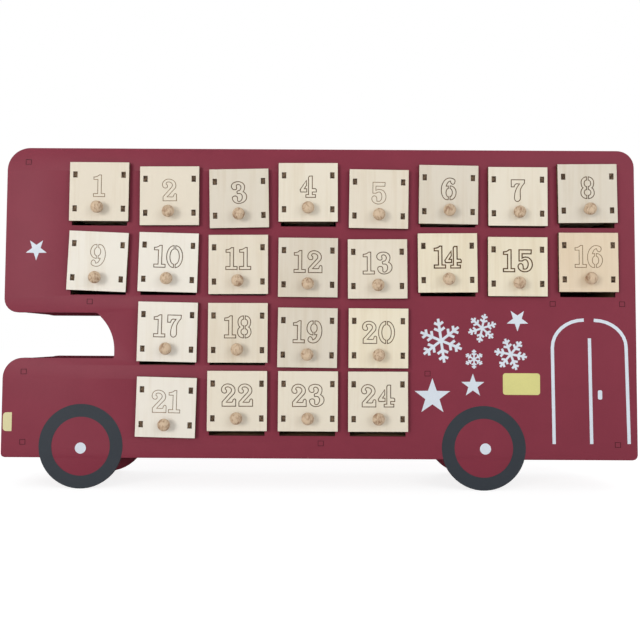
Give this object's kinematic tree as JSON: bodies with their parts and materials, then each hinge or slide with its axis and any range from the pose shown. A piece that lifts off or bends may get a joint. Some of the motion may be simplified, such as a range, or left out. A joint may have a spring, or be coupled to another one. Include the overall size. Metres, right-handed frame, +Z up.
{
  "type": "advent calendar",
  "caption": "Wooden advent calendar in the shape of a double-decker bus, a flat standing box with numbered pull-out drawers and turned knobs.",
  "frame": {"origin": "middle of the calendar's box, on the surface that the wheels stand on", "axes": "+Z up, the front with its drawers looks towards -Y, and the nose of the bus points to -X"},
  "size_m": [0.5012, 0.0816, 0.2701],
  "materials": {
    "red_paint": "satin red paint on thin board",
    "shelf_plywood": "bare plywood",
    "drawer_plywood": "bare birch plywood with laser-burnt edges",
    "knob_wood": "bare turned wood",
    "white_print": "printed ink",
    "tyre_print": "printed ink",
    "yellow_print": "printed ink"
  },
  "bodies": {
    "casing": {"front_panel": "red_paint", "back_panel": "red_paint", "roof_wall": "red_paint", "upper_front_wall": "red_paint", "cab_wall": "red_paint", "floor_wall": "red_paint", "rear_wall": "red_paint", "top_board": "shelf_plywood", "shelf_row_1": "shelf_plywood", "shelf_row_2": "shelf_plywood", "shelf_row_3": "shelf_plywood", "shelf_row_4": "shelf_plywood"},
    "drawer_01": {"drawer_01": "drawer_plywood", "knob_01": "knob_wood"},
    "drawer_02": {"drawer_02": "drawer_plywood", "knob_02": "knob_wood"},
    "drawer_03": {"drawer_03": "drawer_plywood", "knob_03": "knob_wood"},
    "drawer_04": {"drawer_04": "drawer_plywood", "knob_04": "knob_wood"},
    "drawer_05": {"drawer_05": "drawer_plywood", "knob_05": "knob_wood"},
    "drawer_06": {"drawer_06": "drawer_plywood", "knob_06": "knob_wood"},
    "drawer_07": {"drawer_07": "drawer_plywood", "knob_07": "knob_wood"},
    "drawer_08": {"drawer_08": "drawer_plywood", "knob_08": "knob_wood"},
    "drawer_09": {"drawer_09": "drawer_plywood", "knob_09": "knob_wood"},
    "drawer_10": {"drawer_10": "drawer_plywood", "knob_10": "knob_wood"},
    "drawer_11": {"drawer_11": "drawer_plywood", "knob_11": "knob_wood"},
    "drawer_12": {"drawer_12": "drawer_plywood", "knob_12": "knob_wood"},
    "drawer_13": {"drawer_13": "drawer_plywood", "knob_13": "knob_wood"},
    "drawer_14": {"drawer_14": "drawer_plywood", "knob_14": "knob_wood"},
    "drawer_15": {"drawer_15": "drawer_plywood", "knob_15": "knob_wood"},
    "drawer_16": {"drawer_16": "drawer_plywood", "knob_16": "knob_wood"},
    "drawer_17": {"drawer_17": "drawer_plywood", "knob_17": "knob_wood"},
    "drawer_18": {"drawer_18": "drawer_plywood", "knob_18": "knob_wood"},
    "drawer_19": {"drawer_19": "drawer_plywood", "knob_19": "knob_wood"},
    "drawer_20": {"drawer_20": "drawer_plywood", "knob_20": "knob_wood"},
    "drawer_21": {"drawer_21": "drawer_plywood", "knob_21": "knob_wood"},
    "drawer_22": {"drawer_22": "drawer_plywood", "knob_22": "knob_wood"},
    "drawer_23": {"drawer_23": "drawer_plywood", "knob_23": "knob_wood"},
    "drawer_24": {"drawer_24": "drawer_plywood", "knob_24": "knob_wood"}
  },
  "joints": [
    {"name": "drawer_01_slide", "type": "slide", "parent": "casing", "child": "drawer_01", "axis": [0, -1, 0], "range_m": [0, 0.055]},
    {"name": "drawer_02_slide", "type": "slide", "parent": "casing", "child": "drawer_02", "axis": [0, -1, 0], "range_m": [0, 0.055]},
    {"name": "drawer_03_slide", "type": "slide", "parent": "casing", "child": "drawer_03", "axis": [0, -1, 0], "range_m": [0, 0.055]},
    {"name": "drawer_04_slide", "type": "slide", "parent": "casing", "child": "drawer_04", "axis": [0, -1, 0], "range_m": [0, 0.055]},
    {"name": "drawer_05_slide", "type": "slide", "parent": "casing", "child": "drawer_05", "axis": [0, -1, 0], "range_m": [0, 0.055]},
    {"name": "drawer_06_slide", "type": "slide", "parent": "casing", "child": "drawer_06", "axis": [0, -1, 0], "range_m": [0, 0.055]},
    {"name": "drawer_07_slide", "type": "slide", "parent": "casing", "child": "drawer_07", "axis": [0, -1, 0], "range_m": [0, 0.055]},
    {"name": "drawer_08_slide", "type": "slide", "parent": "casing", "child": "drawer_08", "axis": [0, -1, 0], "range_m": [0, 0.055]},
    {"name": "drawer_09_slide", "type": "slide", "parent": "casing", "child": "drawer_09", "axis": [0, -1, 0], "range_m": [0, 0.055]},
    {"name": "drawer_10_slide", "type": "slide", "parent": "casing", "child": "drawer_10", "axis": [0, -1, 0], "range_m": [0, 0.055]},
    {"name": "drawer_11_slide", "type": "slide", "parent": "casing", "child": "drawer_11", "axis": [0, -1, 0], "range_m": [0, 0.055]},
    {"name": "drawer_12_slide", "type": "slide", "parent": "casing", "child": "drawer_12", "axis": [0, -1, 0], "range_m": [0, 0.055]},
    {"name": "drawer_13_slide", "type": "slide", "parent": "casing", "child": "drawer_13", "axis": [0, -1, 0], "range_m": [0, 0.055]},
    {"name": "drawer_14_slide", "type": "slide", "parent": "casing", "child": "drawer_14", "axis": [0, -1, 0], "range_m": [0, 0.055]},
    {"name": "drawer_15_slide", "type": "slide", "parent": "casing", "child": "drawer_15", "axis": [0, -1, 0], "range_m": [0, 0.055]},
    {"name": "drawer_16_slide", "type": "slide", "parent": "casing", "child": "drawer_16", "axis": [0, -1, 0], "range_m": [0, 0.055]},
    {"name": "drawer_17_slide", "type": "slide", "parent": "casing", "child": "drawer_17", "axis": [0, -1, 0], "range_m": [0, 0.055]},
    {"name": "drawer_18_slide", "type": "slide", "parent": "casing", "child": "drawer_18", "axis": [0, -1, 0], "range_m": [0, 0.055]},
    {"name": "drawer_19_slide", "type": "slide", "parent": "casing", "child": "drawer_19", "axis": [0, -1, 0], "range_m": [0, 0.055]},
    {"name": "drawer_20_slide", "type": "slide", "parent": "casing", "child": "drawer_20", "axis": [0, -1, 0], "range_m": [0, 0.055]},
    {"name": "drawer_21_slide", "type": "slide", "parent": "casing", "child": "drawer_21", "axis": [0, -1, 0], "range_m": [0, 0.055]},
    {"name": "drawer_22_slide", "type": "slide", "parent": "casing", "child": "drawer_22", "axis": [0, -1, 0], "range_m": [0, 0.055]},
    {"name": "drawer_23_slide", "type": "slide", "parent": "casing", "child": "drawer_23", "axis": [0, -1, 0], "range_m": [0, 0.055]},
    {"name": "drawer_24_slide", "type": "slide", "parent": "casing", "child": "drawer_24", "axis": [0, -1, 0], "range_m": [0, 0.055]}
  ]
}
